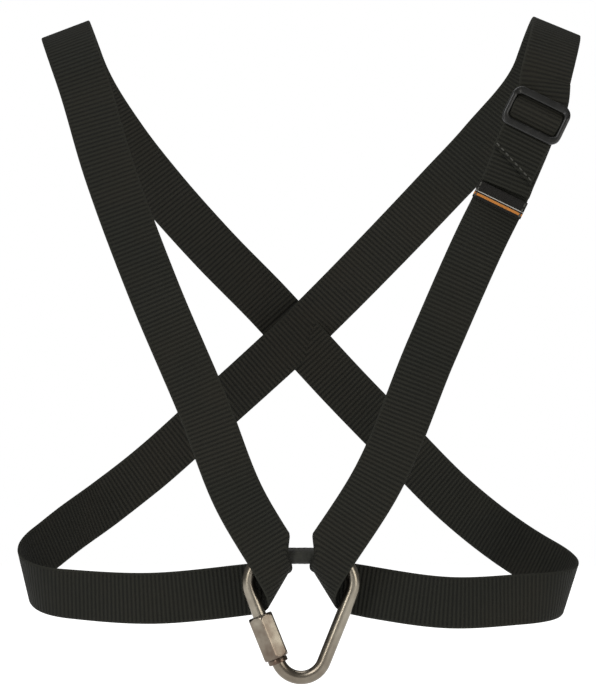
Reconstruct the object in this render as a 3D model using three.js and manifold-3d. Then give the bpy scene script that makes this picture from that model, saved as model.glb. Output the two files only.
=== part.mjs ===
// Climbing chest harness: one continuous strap of webbing in a figure of eight, closed at one shoulder
// by a three-bar slide and gathered at the chest by a triangular screw link.
// Millimetres, +Z up, the wearer faces -Y, +X is the wearer's left.
// The origin lies midway between the shoulders, at the height of the shoulder crests.
import * as THREE from "three";
import { mergeVertices } from "three/addons/utils/BufferGeometryUtils.js";
import Module from "manifold-3d";

const wasm = await Module();
wasm.setup();

// Webbing
const webbingWidth = 30;
const webbingThickness = 1.6;
const layerGap = 0.3;
const spanStep = 19;
const wideStepAngle = 0.21;
const tightStepAngle = 0.36;
const skewFade = 39;

// The form the strap keeps when worn: the points of the route are shares of these
const halfBreadth = 160;
const drop = 308;
const frontDepth = 80;
const backDepth = 80;
const shoulderShare = 0.475;
const shoulderRadius = frontDepth * shoulderShare;
const sideRadius = 37;
const crossingGap = 3.4;

// Folds of the strap at the link
const foldRadius = 10.3;
const flareWidth = 8.5;
const flareRadius = 30;
const gatherShare = 0.9;
const flareShare = 0.2;

// Link
const wireRadius = 4;
const wireSides = 12;
const barHalfLength = 14.6;
const cornerRadius = 15.7;
const legAngle = THREE.MathUtils.degToRad(21.5);
const bottomRadius = 14.1;
const linkHeight = 70.5;
const mouthLength = 11;
const linkCentreX = 1.2;
const linkDrop = 304.7;
const linkAhead = 1.2;
const linkSteps = 84;

// Screw sleeve on the link's leg
const sleeveFlats = 14.2;
const sleeveLength = 29.6;
const sleeveEndRadius = 6.3;
const chamferLength = 1.7;
const collarRadius = 5.8;
const collarLength = 3;
const sleeveBottomUp = -0.6;
const sleeveTurnSides = 36;
const runningGap = 0.3;

// Tube over the link's bar
const tubeWall = 0.5;
const tubeSides = 20;

// Slide buckle
const buckleWidth = 37;
const railThickness = 2.6;
const barThickness = 3.1;
const upperBarHeight = 3.6;
const middleBarHeight = 3.1;
const lowerBarHeight = 4.6;
const upperBarUp = 8.6;
const lowerBarDown = 10.2;
const buckleTilt = THREE.MathUtils.degToRad(26);
const buckleLean = THREE.MathUtils.degToRad(9);
const railCorner = 2.4;
const barCornerShare = 0.97;
const cornerSteps = 4;

// Label and the strap's two ends below the buckle
const foldBackLength = 47;
const tailLength = 33;
const tailSkew = -0.4;
const strapShift = 2.4;
const labelWidth = 31;
const labelHeight = 10.5;
const labelThickness = 0.8;
const labelGap = 1.3;
const labelDrop = 1.8;

const layerPitch = webbingThickness + layerGap;
const halfThickness = webbingThickness / 2;

// A point given as shares: x of the half breadth, y of the front or back depth, z of the drop.
function place({ x, y, z }) {
  return new THREE.Vector3(x * halfBreadth, y * (y < 0 ? frontDepth : backDepth), z * drop);
}

// A direction as degrees from +X towards +Z, and then forward towards -Y.
function lean(degrees, forward = 0) {
  const angle = THREE.MathUtils.degToRad(degrees);
  const tip = THREE.MathUtils.degToRad(forward);
  const level = Math.cos(tip);
  return new THREE.Vector3(level * Math.cos(angle), -Math.sin(tip), level * Math.sin(angle));
}

// The buckle's own directions: along its bars, up the strap, and out of the wearer.
const buckleTurn = new THREE.Euler(-buckleLean, buckleTilt, 0, "YXZ");
const alongBars = new THREE.Vector3(1, 0, 0).applyEuler(buckleTurn);
const upStrap = new THREE.Vector3(0, 0, 1).applyEuler(buckleTurn);
const outward = new THREE.Vector3(0, -1, 0).applyEuler(buckleTurn);
const buckleSeat = place({ x: 0.86, y: -0.505, z: -0.163 });

// Three layers of webbing lie behind the lower bar, one behind the upper bar.
const middleBarOut = halfThickness + layerGap + barThickness / 2;
const lowerBarOut = 2 * layerPitch + halfThickness + layerGap + barThickness / 2;
const upperBarOut = middleBarOut + layerPitch;
const innerWrap = barThickness / 2 + layerGap + halfThickness;
const outerWrap = innerWrap + layerPitch;

function onBuckle(up, out, along = 0) {
  return buckleSeat
    .clone()
    .addScaledVector(upStrap, up)
    .addScaledVector(outward, out)
    .addScaledVector(alongBars, along);
}

// The strap's route, in order. A bend is a stretch wrapped on a cylinder: crest is the middle of its
// outer face, axis the cylinder's direction, turn the sense of travel about that axis.
// A point is where the middle of the strap passes.
function bendAt(crest, axisDegrees, outDegrees, radius, turn, slopes, forward = 0) {
  const axis = lean(axisDegrees, forward);
  const centre = place(crest).addScaledVector(lean(outDegrees), -radius - halfThickness);
  return { kind: "bend", centre, axis, radius, turn, slopes };
}

const crests = {
  leftShoulder: { x: -0.852, y: 0, z: 0 },
  rightShoulder: { x: 0.94, y: 0, z: 0.006 },
  leftSide: { x: -1.004, y: 0, z: -1.039 },
  rightSide: { x: 0.991, y: 0, z: -1.061 },
  leftFold: { x: -0.0555, y: -0.885, z: -1.038 },
  rightFold: { x: 0.071, y: -0.885, z: -1.0355 },
};

const frontRight = [
  { x: 0.671, y: -0.75, z: -0.38 },
  { x: 0.479, y: -0.9, z: -0.603 },
  { x: 0.273, y: -0.988, z: -0.856 },
];
const bandRight = [{ x: 0.554, y: -0.65, z: -1.08 }];
const backFromRightSide = [
  { x: 0.707, y: 0.634, z: -0.954 },
  { x: 0.574, y: 0.8, z: -0.898 },
  { x: 0.36, y: 0.938, z: -0.787 },
  { x: 0.143, y: 1.006, z: -0.671 },
  { x: -0.007, y: 1.018, z: -0.586 },
  { x: -0.098, y: 1.006, z: -0.534 },
  { x: -0.319, y: 0.938, z: -0.416 },
  { x: -0.516, y: 0.825, z: -0.3 },
  { x: -0.649, y: 0.7, z: -0.211 },
];
const frontLeft = [
  { x: -0.688, y: -0.688, z: -0.265 },
  { x: -0.526, y: -0.838, z: -0.49 },
  { x: -0.34, y: -0.95, z: -0.717 },
  { x: -0.213, y: -1.0, z: -0.884 },
];
const bandLeft = [{ x: -0.549, y: -0.625, z: -1.072 }];
const backFromLeftSide = [
  { x: -0.847, y: 0.505, z: -0.953 },
  { x: -0.697, y: 0.8, z: -0.898 },
  { x: -0.556, y: 0.875, z: -0.841 },
  { x: -0.353, y: 0.963, z: -0.748 },
  { x: -0.153, y: 1.012, z: -0.655 },
  { x: -0.007, y: 1.018, z: -0.585 },
  { x: 0.097, y: 1.006, z: -0.532 },
  { x: 0.314, y: 0.938, z: -0.417 },
  { x: 0.522, y: 0.825, z: -0.303 },
  { x: 0.679, y: 0.7, z: -0.215 },
];

function points(rows, shiftBack = 0) {
  return rows.map((row) => {
    const at = place(row);
    at.y += shiftBack;
    return { kind: "point", at };
  });
}

const barBend = (up, out, radius, turn, slopes = [0, 0]) => ({
  kind: "bend",
  centre: onBuckle(up, out),
  axis: alongBars.clone(),
  radius,
  turn,
  slopes,
});

const route = [
  { kind: "end", at: onBuckle(-foldBackLength, layerPitch, strapShift), skew: 0 },
  barBend(-lowerBarDown, lowerBarOut, outerWrap, 1),
  barBend(0, middleBarOut, innerWrap, -1),
  { kind: "point", at: onBuckle(-foldBackLength / 2, 0, strapShift / 2) },
  { kind: "point", at: onBuckle(-foldBackLength - labelHeight, 0, strapShift) },
  ...points(frontRight),
  bendAt(crests.rightFold, 121.5, 211.5, foldRadius, -1),
  ...points(bandRight),
  bendAt(crests.rightSide, 72.5, -17.5, sideRadius, 1, [0.34, 0.16]),
  ...points(backFromRightSide, crossingGap),
  bendAt(crests.leftShoulder, 20.7, 110.7, shoulderRadius, 1, [0.02, -0.02]),
  ...points(frontLeft),
  bendAt(crests.leftFold, 60, -30, foldRadius, 1),
  ...points(bandLeft),
  bendAt(crests.leftSide, 103, 193, sideRadius, -1, [0.22, 0.2], 10),
  ...points(backFromLeftSide),
  bendAt(crests.rightShoulder, -22.3, 67.7, shoulderRadius, 1, [-0.06, 0.14]),
  barBend(upperBarUp, upperBarOut, innerWrap, -1, [0.12, 0]),
  barBend(0, middleBarOut, outerWrap, 1),
  barBend(-lowerBarDown, lowerBarOut, innerWrap, -1),
  { kind: "end", at: onBuckle(-tailLength, 2 * layerPitch), skew: tailSkew },
];

// Where the strap meets and leaves a bend's cylinder when it runs straight to its neighbours.
function settleBend(bend, before, after) {
  const { centre, axis, radius, turn } = bend;
  bend.up = bend.up ?? new THREE.Vector3(0, -1, 0).cross(axis).normalize();
  bend.across = bend.across ?? new THREE.Vector3().crossVectors(bend.up, axis);
  const seen = (p) => {
    const d = p.clone().sub(centre);
    const flat = new THREE.Vector2(d.dot(bend.across), d.dot(bend.up));
    return { angle: flat.angle(), far: Math.max(flat.length(), radius), along: d.dot(axis) };
  };
  const from = seen(before);
  const to = seen(after);
  const start = from.angle + turn * Math.acos(radius / from.far);
  const end = to.angle - turn * Math.acos(radius / to.far);
  const full = 2 * Math.PI;
  const wrap = (((turn * (end - start)) % full) + full) % full;
  const half = (radius * wrap) / 2;
  const runIn = Math.max(Math.sqrt(from.far ** 2 - radius ** 2), radius);
  const runOut = Math.max(Math.sqrt(to.far ** 2 - radius ** 2), radius);
  const straightIn = ((bend.alongIn ?? 0) - from.along) / runIn;
  const straightOut = (to.along - (bend.alongOut ?? 0)) / runOut;
  const [slopeIn, slopeOut] = bend.slopes ?? [straightIn, straightOut];
  const mean = (slopeIn + slopeOut) / 2;
  const change = slopeOut - slopeIn;
  bend.alongIn = -mean * half + (change * half) / 4;
  bend.alongOut = mean * half + (change * half) / 4;
  Object.assign(bend, { start, wrap, half, mean, change });
}

// The strap's middle at share t of a bend, with its travel direction and the cylinder's radial.
function onBend(bend, t) {
  const { centre, axis, radius, turn, across, up, start, wrap, half, mean, change } = bend;
  const angle = start + turn * wrap * t;
  const run = (2 * t - 1) * half;
  const slope = mean + change * (t - 0.5);
  const along = mean * run + (change * run * run) / (4 * half);
  const radial = across
    .clone()
    .multiplyScalar(Math.cos(angle))
    .addScaledVector(up, Math.sin(angle));
  const round = new THREE.Vector3().crossVectors(axis, radial).multiplyScalar(turn);
  return {
    centre: centre.clone().addScaledVector(radial, radius).addScaledVector(axis, along),
    tangent: round.addScaledVector(axis, slope).normalize(),
    radial,
    slope,
  };
}

const exitOf = (node) => (node.kind === "bend" && node.half ? onBend(node, 1).centre : node.at ?? node.centre);
const entryOf = (node) => (node.kind === "bend" && node.half ? onBend(node, 0).centre : node.at ?? node.centre);

function settleRoute() {
  const rounds = 60;
  for (let round = 0; round < rounds; round += 1) {
    route.forEach((node, i) => {
      if (node.kind === "bend") {
        settleBend(node, exitOf(route[i - 1]), entryOf(route[i + 1]));
      }
    });
  }
}

// Normal and skew of a bend's sections, with the normal on the same face of the strap as before.
function sectionOnBend(bend, t, facing) {
  const spot = onBend(bend, t);
  const face = Math.sign(spot.radial.dot(facing)) || 1;
  const normal = spot.radial.clone().multiplyScalar(face);
  const side = new THREE.Vector3().crossVectors(normal, spot.tangent);
  const skew = spot.tangent.dot(bend.axis) / side.dot(bend.axis);
  return { ...spot, normal, skew, face };
}

const smooth = (t) => t * t * (3 - 2 * t);
const clamp01 = (t) => Math.min(1, Math.max(0, t));

// Stations along the whole strap: middle, travel direction, normal, skew and edge flare.
function strapStations() {
  settleRoute();
  const stations = [];
  let facing = outward.clone();
  let at = 0;
  while (at < route.length - 1) {
    const node = route[at];
    if (node.kind === "bend") {
      const isFold = node.radius === foldRadius;
      const stepAngle = node.radius > 2 * foldRadius ? wideStepAngle : tightStepAngle;
      const count = Math.max(3, Math.ceil(node.wrap / stepAngle));
      for (let i = 0; i <= count; i += 1) {
        const t = i / count;
        const spot = sectionOnBend(node, t, facing);
        facing = spot.normal.clone();
        const rise = Math.min(smooth(clamp01(t / flareShare)), smooth(clamp01((1 - t) / flareShare)));
        stations.push({ ...spot, flare: isFold ? rise * spot.face : 0 });
      }
    }
    let next = at + 1;
    while (route[next].kind === "point") {
      next += 1;
    }
    stations.push(...spanStations(route.slice(at, next + 1), stations.at(-1), facing));
    at = next;
    facing = stations.at(-1).normal.clone();
  }
  return stations;
}

// Stations between two bends, on a smooth curve through the points between them.
function spanStations(nodes, last, facing) {
  const first = nodes[0];
  const end = nodes.at(-1);
  const knots = nodes.map((node, i) => (i === 0 ? exitOf(node) : entryOf(node)));
  const chord = (i) => knots[i + 1].clone().sub(knots[i]);
  const tangents = knots.map((_, i) => {
    if (i === 0) {
      return first.kind === "bend" ? onBend(first, 1).tangent : chord(0).normalize();
    }
    if (i === knots.length - 1) {
      return end.kind === "bend" ? onBend(end, 0).tangent : chord(i - 1).normalize();
    }
    const a = chord(i - 1);
    const b = chord(i);
    return a.divideScalar(a.lengthSq()).add(b.divideScalar(b.lengthSq())).normalize();
  });
  const lengths = knots.slice(1).map((_, i) => chord(i).length());
  const total = lengths.reduce((sum, length) => sum + length, 0);
  const startNormal = last ? last.normal : facing;
  const endSection = end.kind === "bend" ? sectionOnBend(end, 0, facing) : null;
  const endNormal = endSection ? turned(endSection.normal, startNormal) : startNormal;
  const startSkew = last ? last.skew : first.skew;
  const endSkew = endSection ? endSection.skew : end.skew;
  const fade = Math.min(skewFade, total);
  const made = [];
  let done = 0;
  lengths.forEach((length, i) => {
    const steps = Math.max(1, Math.round(length / spanStep));
    const isFirst = i === 0 && !last;
    const isLast = i === lengths.length - 1;
    for (let j = isFirst ? 0 : 1; j <= steps; j += 1) {
      if (isLast && j === steps && end.kind === "bend") {
        continue;
      }
      const t = j / steps;
      const { centre, tangent } = hermite(knots[i], knots[i + 1], tangents[i], tangents[i + 1], length, t);
      const run = done + length * t;
      const normal = startNormal.clone().lerp(endNormal, run / total);
      normal.addScaledVector(tangent, -normal.dot(tangent)).normalize();
      const near = (d) => (1 - clamp01(d / fade)) ** 2;
      const skew = startSkew * near(run) + endSkew * near(total - run);
      made.push({ centre, tangent, normal, skew, flare: 0 });
    }
    done += length;
  });
  return made;
}

function turned(vector, like) {
  return vector.dot(like) < 0 ? vector.clone().negate() : vector.clone();
}

function hermite(a, b, tangentA, tangentB, length, t) {
  const curve = new THREE.CubicBezierCurve3(
    a,
    a.clone().addScaledVector(tangentA, length / 3),
    b.clone().addScaledVector(tangentB, -length / 3),
    b,
  );
  return { centre: curve.getPoint(t), tangent: curve.getTangent(t) };
}

// One section across the strap: the inner edge flares away from the fold where the link's bar crosses.
const columns = [-1, -0.35, 0.3, 0.55, 0.78, 1];

function sectionPoints({ centre, tangent, normal, skew, flare }) {
  const side = new THREE.Vector3().crossVectors(normal, tangent).addScaledVector(tangent, skew);
  const half = webbingWidth / 2;
  const straight = half - flareWidth;
  const curl = flare / flareRadius;
  const row = columns.map((share) => {
    const across = share * half;
    const past = Math.max(0, across - straight);
    const angle = past * curl;
    const out = Math.abs(curl) > 1e-6 ? (1 - Math.cos(angle)) / curl : 0;
    const along = Math.abs(curl) > 1e-6 ? Math.sin(angle) / curl : past;
    const middle = centre
      .clone()
      .addScaledVector(side, Math.min(across, straight) + along * (1 - gatherShare * Math.abs(flare)))
      .addScaledVector(normal, out);
    const face = normal
      .clone()
      .multiplyScalar(Math.cos(angle))
      .addScaledVector(side, -Math.sin(angle))
      .normalize()
      .multiplyScalar(halfThickness);
    return { front: middle.clone().add(face), back: middle.clone().sub(face) };
  });
  return [...row.map((p) => p.back), ...row.reverse().map((p) => p.front)];
}

// A closed solid through rings of points that run counter-clockwise seen from the far end.
function skin(rings) {
  const size = rings[0].length;
  const positions = rings.flatMap((ring) => ring.flatMap((p) => [p.x, p.y, p.z]));
  const index = [];
  for (let i = 0; i < rings.length - 1; i += 1) {
    for (let j = 0; j < size; j += 1) {
      const a = i * size + j;
      const b = i * size + ((j + 1) % size);
      index.push(a, b, b + size, a, b + size, a + size);
    }
  }
  const lastRing = (rings.length - 1) * size;
  for (let j = 0; j < size / 2 - 1; j += 1) {
    const k = size - 1 - j;
    index.push(j, k, k - 1, j, k - 1, j + 1);
    index.push(lastRing + j, lastRing + j + 1, lastRing + k - 1);
    index.push(lastRing + j, lastRing + k - 1, lastRing + k);
  }
  const geometry = new THREE.BufferGeometry();
  geometry.setAttribute("position", new THREE.Float32BufferAttribute(positions, 3));
  geometry.setIndex(index);
  return geometry;
}

function solid(geometry) {
  const bare = geometry.clone();
  bare.deleteAttribute("normal");
  bare.deleteAttribute("uv");
  const merged = mergeVertices(bare, 1e-4);
  return new wasm.Manifold(
    new wasm.Mesh({
      numProp: 3,
      vertProperties: new Float32Array(merged.attributes.position.array),
      triVerts: new Uint32Array(merged.index.array),
    }),
  );
}

function geometryOf(manifold) {
  const mesh = manifold.getMesh();
  const geometry = new THREE.BufferGeometry();
  geometry.setAttribute("position", new THREE.BufferAttribute(mesh.vertProperties, 3));
  geometry.setIndex(new THREE.BufferAttribute(mesh.triVerts, 1));
  const plain = geometry.toNonIndexed();
  plain.computeVertexNormals();
  return plain;
}

function named(name, geometry, material) {
  const mesh = new THREE.Mesh(geometry, material);
  mesh.name = name;
  return mesh;
}

const blackWebbing = new THREE.MeshStandardMaterial({ color: 0x1e1f19, roughness: 0.85, metalness: 0 });
const blackPlastic = new THREE.MeshStandardMaterial({ color: 0x1a1b18, roughness: 0.5, metalness: 0 });
const blackRubber = new THREE.MeshStandardMaterial({ color: 0x23221d, roughness: 0.7, metalness: 0 });
const brushedSteel = new THREE.MeshStandardMaterial({ color: 0x8f887c, roughness: 0.35, metalness: 1 });
const wovenLabel = new THREE.MeshStandardMaterial({ color: 0x15120f, roughness: 0.8, metalness: 0 });

function webbing() {
  return named("webbing", skin(strapStations().map(sectionPoints)), blackWebbing);
}

// The link's centreline in its own plane: x across, y up, with the bar's middle at the origin.
const halfMouth = mouthLength / 2;
const legTop = new THREE.Vector2(
  -barHalfLength - cornerRadius * Math.cos(legAngle),
  -cornerRadius - cornerRadius * Math.sin(legAngle),
);
const bottomCentreY = -linkHeight + bottomRadius;
const legBottom = new THREE.Vector2(
  -bottomRadius * Math.cos(legAngle),
  bottomCentreY - bottomRadius * Math.sin(legAngle),
);
const legDirection = legBottom.clone().sub(legTop).normalize();
const sleeveMiddleRun = legTop.distanceTo(legBottom) - sleeveBottomUp - sleeveLength / 2;
const sleeveMiddle = legTop.clone().addScaledVector(legDirection, sleeveMiddleRun);

function linkOutline() {
  const upperEnd = sleeveMiddle.clone().addScaledVector(legDirection, -halfMouth);
  const lowerEnd = sleeveMiddle.clone().addScaledVector(legDirection, halfMouth);
  const path = new THREE.Path();
  path.moveTo(upperEnd.x, upperEnd.y);
  path.lineTo(legTop.x, legTop.y);
  path.absarc(-barHalfLength, -cornerRadius, cornerRadius, Math.PI + legAngle, Math.PI / 2, true);
  path.absarc(barHalfLength, -cornerRadius, cornerRadius, Math.PI / 2, -legAngle, true);
  path.absarc(0, bottomCentreY, bottomRadius, -legAngle, Math.PI + legAngle, true);
  path.lineTo(lowerEnd.x, lowerEnd.y);
  return path;
}

class FlatCurve extends THREE.Curve {
  constructor(outline) {
    super();
    this.outline = outline;
  }

  getPoint(t) {
    const p = this.outline.getPoint(t);
    return new THREE.Vector3(p.x, 0, p.y);
  }
}

const linkSeat = new THREE.Vector3(linkCentreX, crests.leftFold.y * frontDepth - linkAhead, -linkDrop);

function link() {
  const group = new THREE.Group();
  group.position.copy(linkSeat);
  const round = new THREE.Shape();
  round.absarc(0, 0, wireRadius, 0, 2 * Math.PI, false);
  const body = new THREE.ExtrudeGeometry(round, {
    steps: linkSteps,
    curveSegments: wireSides / 2,
    extrudePath: new FlatCurve(linkOutline()),
    bevelEnabled: false,
  });
  group.add(named("link_body", body, brushedSteel));
  group.add(linkSleeve());
  group.add(barTube());
  return group;
}

// Hexagonal sleeve with chamfered ends and a turned collar, around the gap in the link's leg.
function linkSleeve() {
  const corner = sleeveFlats / Math.sqrt(3);
  const corners = [];
  for (let i = 0; i < 6; i += 1) {
    const angle = (Math.PI / 3) * (i + 0.5);
    corners.push(new THREE.Vector2(corner * Math.cos(angle), corner * Math.sin(angle)));
  }
  const hexagon = new THREE.Shape(corners);
  const prism = new THREE.ExtrudeGeometry(hexagon, { depth: sleeveLength, bevelEnabled: false });
  prism.translate(0, 0, -sleeveLength / 2);
  prism.rotateX(-Math.PI / 2);
  const half = sleeveLength / 2;
  const hexBottom = collarLength - half;
  const bore = wireRadius + runningGap;
  const profile = [
    [bore, -half],
    [collarRadius, -half],
    [collarRadius, hexBottom],
    [sleeveEndRadius, hexBottom],
    [corner, hexBottom + chamferLength],
    [corner, half - chamferLength],
    [sleeveEndRadius, half],
    [bore, half],
    [bore, -half],
  ].map(([radius, height]) => new THREE.Vector2(radius, height));
  const turnedForm = new THREE.LatheGeometry(profile, sleeveTurnSides);
  const geometry = geometryOf(solid(prism).intersect(solid(turnedForm)));
  const mesh = named("link_sleeve", geometry, brushedSteel);
  mesh.position.set(sleeveMiddle.x, 0, sleeveMiddle.y);
  mesh.rotation.set(Math.PI / 2, 0, 0);
  mesh.rotation.order = "YXZ";
  mesh.rotation.y = -legAngle;
  return mesh;
}

function barTube() {
  const inner = wireRadius + runningGap;
  const profile = [
    [inner, -barHalfLength],
    [inner + tubeWall, -barHalfLength],
    [inner + tubeWall, barHalfLength],
    [inner, barHalfLength],
    [inner, -barHalfLength],
  ].map(([radius, height]) => new THREE.Vector2(radius, height));
  const mesh = named("bar_tube", new THREE.LatheGeometry(profile, tubeSides), blackRubber);
  mesh.rotation.z = Math.PI / 2;
  return mesh;
}

// A bar or rail of the buckle: a rounded section, extruded along the bars.
function roundedBar(height, thickness, corner, length) {
  const shape = new THREE.Shape();
  const x = thickness / 2;
  const y = height / 2;
  shape.moveTo(x, -y + corner);
  shape.absarc(x - corner, y - corner, corner, 0, Math.PI / 2, false);
  shape.absarc(-x + corner, y - corner, corner, Math.PI / 2, Math.PI, false);
  shape.absarc(-x + corner, -y + corner, corner, Math.PI, 1.5 * Math.PI, false);
  shape.absarc(x - corner, -y + corner, corner, 1.5 * Math.PI, 2 * Math.PI, false);
  const geometry = new THREE.ExtrudeGeometry(shape, {
    depth: length,
    curveSegments: cornerSteps,
    bevelEnabled: false,
  });
  geometry.translate(0, 0, -length / 2);
  geometry.rotateY(-Math.PI / 2);
  geometry.rotateX(-Math.PI / 2);
  return geometry;
}

// Buckle axes: x along the bars, y towards the wearer, z up the strap.
function buckle() {
  const barLength = buckleWidth - railThickness;
  const corner = barCornerShare * (barThickness / 2);
  const railBack = middleBarOut - barThickness / 2;
  const railFront = lowerBarOut + barThickness / 2;
  const railTop = upperBarUp + upperBarHeight / 2;
  const railBottom = -lowerBarDown - lowerBarHeight / 2;
  const bar = (height, out, up) =>
    roundedBar(height, barThickness, corner, barLength).translate(0, -out, up);
  const parts = [
    bar(upperBarHeight, upperBarOut, upperBarUp + (upperBarHeight - barThickness) / 2),
    bar(middleBarHeight, middleBarOut, 0),
    bar(lowerBarHeight, lowerBarOut, -lowerBarDown - (lowerBarHeight - barThickness) / 2),
  ];
  [-1, 1].forEach((side) => {
    const rail = roundedBar(railTop - railBottom, railFront - railBack, railCorner, railThickness);
    const shift = (side * (buckleWidth - railThickness)) / 2;
    rail.translate(shift, -(railFront + railBack) / 2, (railTop + railBottom) / 2);
    parts.push(rail);
  });
  const whole = parts.map(solid).reduce((sum, part) => sum.add(part));
  const mesh = named("buckle", geometryOf(whole), blackPlastic);
  mesh.position.copy(buckleSeat);
  mesh.setRotationFromEuler(buckleTurn);
  return mesh;
}

function label() {
  const geometry = new THREE.BoxGeometry(labelWidth, labelThickness, labelHeight);
  const mesh = named("label", geometry, wovenLabel);
  const up = -foldBackLength - labelDrop - labelHeight / 2;
  mesh.position.copy(onBuckle(up, halfThickness + labelGap + labelThickness / 2, strapShift));
  mesh.setRotationFromEuler(buckleTurn);
  return mesh;
}

const harness = new THREE.Group();
harness.add(webbing(), buckle(), label(), link());

export default harness;
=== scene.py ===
import math

import bmesh
import bpy
from mathutils import Matrix, Vector


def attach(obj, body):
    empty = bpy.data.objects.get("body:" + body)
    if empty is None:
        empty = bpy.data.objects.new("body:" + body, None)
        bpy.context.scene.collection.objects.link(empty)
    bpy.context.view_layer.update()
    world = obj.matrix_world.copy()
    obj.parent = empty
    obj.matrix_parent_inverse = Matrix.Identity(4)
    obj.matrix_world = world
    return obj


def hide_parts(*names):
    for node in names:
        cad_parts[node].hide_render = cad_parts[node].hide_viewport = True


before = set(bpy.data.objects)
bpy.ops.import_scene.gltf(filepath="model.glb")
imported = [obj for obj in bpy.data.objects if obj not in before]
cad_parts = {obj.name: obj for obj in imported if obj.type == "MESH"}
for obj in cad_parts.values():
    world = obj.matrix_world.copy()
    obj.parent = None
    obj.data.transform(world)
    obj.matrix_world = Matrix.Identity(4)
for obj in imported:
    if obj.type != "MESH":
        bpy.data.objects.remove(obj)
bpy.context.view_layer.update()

# Everything is in metres. The wearer faces -Y.
form = {
    "halfBreadth": 0.160,
    "drop": 0.308,
    "frontDepth": 0.080,
    "backDepth": 0.080,
    "shoulderRadius": 0.038,
    "sideRadius": 0.037,
    "crossingGap": 0.0034,
}

strap = {
    "width": 0.030,
    "thickness": 0.0016,
    "layerGap": 0.0003,
    "ringStep": 0.0022,
    "faceColumns": 15,
    "edgeSteps": 4,
    "ribPitch": 0.0025,
    "skewFade": 1.3,  # of the width
    "bendStep": 0.6,  # of the ring step
    "bendRings": 6,
    "settleRounds": 60,
}

fold = {
    "radius": 0.0103,
    "flareWidth": 0.0085,
    "flareRadius": 0.03,
    "gather": 0.9,
    "flareShare": 0.2,
    "leastCurl": 0.001,
}

slide = {
    "tilt": math.radians(26),
    "lean": math.radians(9),
    "seat": (0.86, -0.505, -0.163),
    "width": 0.037,
    "rail": 0.0035,
    "barDepth": 0.0031,
    "upperBarHeight": 0.0046,
    "lowerBarHeight": 0.0046,
    "middleBarHeight": 0.0031,
    "upperBarUp": 0.0086,
    "lowerBarDown": 0.0102,
    "cornerRadius": 0.0046,
    "sectionSides": 20,
    "cornerSteps": 8,
    "straightSteps": 12,
    "middleBarRings": 24,
    "ringPower": 0.55,
    "middleBarPower": 0.7,
    "middleBarSwell": 0.12,
    "swellFrom": 0.4,
}

strapEnds = {
    "foldBack": 0.047,
    "tail": 0.033,
    "tailSkew": -0.4,
    "shift": 0.0024,
    "labelHeight": 0.0105,
}

layerPitch = strap["thickness"] + strap["layerGap"]
halfThick = strap["thickness"] / 2


def place(x, y, z, back=0.0):
    depth = form["frontDepth"] if y < 0 else form["backDepth"]
    return Vector((x * form["halfBreadth"], y * depth + back, z * form["drop"]))


def lean(degrees, forward=0.0):
    angle = math.radians(degrees)
    tip = math.radians(forward)
    return Vector((math.cos(tip) * math.cos(angle), -math.sin(tip), math.cos(tip) * math.sin(angle)))


slideTurn = Matrix.Rotation(slide["tilt"], 3, "Y") @ Matrix.Rotation(-slide["lean"], 3, "X")
alongBars = slideTurn @ Vector((1, 0, 0))
upStrap = slideTurn @ Vector((0, 0, 1))
outward = slideTurn @ Vector((0, -1, 0))
slideSeat = place(*slide["seat"])

middleBarOut = halfThick + strap["layerGap"] + slide["barDepth"] / 2
lowerBarOut = 2 * layerPitch + middleBarOut
upperBarOut = middleBarOut + layerPitch
innerWrap = slide["barDepth"] / 2 + strap["layerGap"] + halfThick
outerWrap = innerWrap + layerPitch


def onSlide(up, out, along=0.0):
    return slideSeat + upStrap * up + outward * out + alongBars * along


# The strap's route: bends on cylinders, and points between them.
# Slopes are how fast the strap drifts along a bend's axis, going in and coming out.
def bendAt(crest, axisDegrees, outDegrees, radius, turn, slopes=None, forward=0.0):
    return {
        "kind": "bend",
        "centre": place(*crest) - lean(outDegrees) * (radius + halfThick),
        "axis": lean(axisDegrees, forward),
        "radius": radius,
        "turn": turn,
        "slopes": slopes,
    }


def barBend(up, out, radius, turn, slopes=(0.0, 0.0)):
    return {
        "kind": "bend",
        "centre": onSlide(up, out),
        "axis": alongBars.copy(),
        "radius": radius,
        "turn": turn,
        "slopes": slopes,
    }


def pointAt(at):
    return {"kind": "point", "at": at}


def pointsAt(rows, back=0.0):
    return [pointAt(place(*row, back)) for row in rows]


# Points of the route, as shares of half the breadth, the depth and the drop.
frontRight = [(0.671, -0.75, -0.38), (0.479, -0.9, -0.603), (0.273, -0.988, -0.856)]
bandRight = [(0.554, -0.65, -1.08)]
backFromRightSide = [
    (0.707, 0.634, -0.954),
    (0.574, 0.8, -0.898),
    (0.36, 0.938, -0.787),
    (0.143, 1.006, -0.671),
    (-0.007, 1.018, -0.586),
    (-0.098, 1.006, -0.534),
    (-0.319, 0.938, -0.416),
    (-0.516, 0.825, -0.3),
    (-0.649, 0.7, -0.211),
]
frontLeft = [
    (-0.688, -0.688, -0.265),
    (-0.526, -0.838, -0.49),
    (-0.34, -0.95, -0.717),
    (-0.213, -1.0, -0.884),
]
bandLeft = [(-0.549, -0.625, -1.072)]
backFromLeftSide = [
    (-0.847, 0.505, -0.953),
    (-0.697, 0.8, -0.898),
    (-0.556, 0.875, -0.841),
    (-0.353, 0.963, -0.748),
    (-0.153, 1.012, -0.655),
    (-0.007, 1.018, -0.585),
    (0.097, 1.006, -0.532),
    (0.314, 0.938, -0.417),
    (0.522, 0.825, -0.303),
    (0.679, 0.7, -0.215),
]

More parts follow.
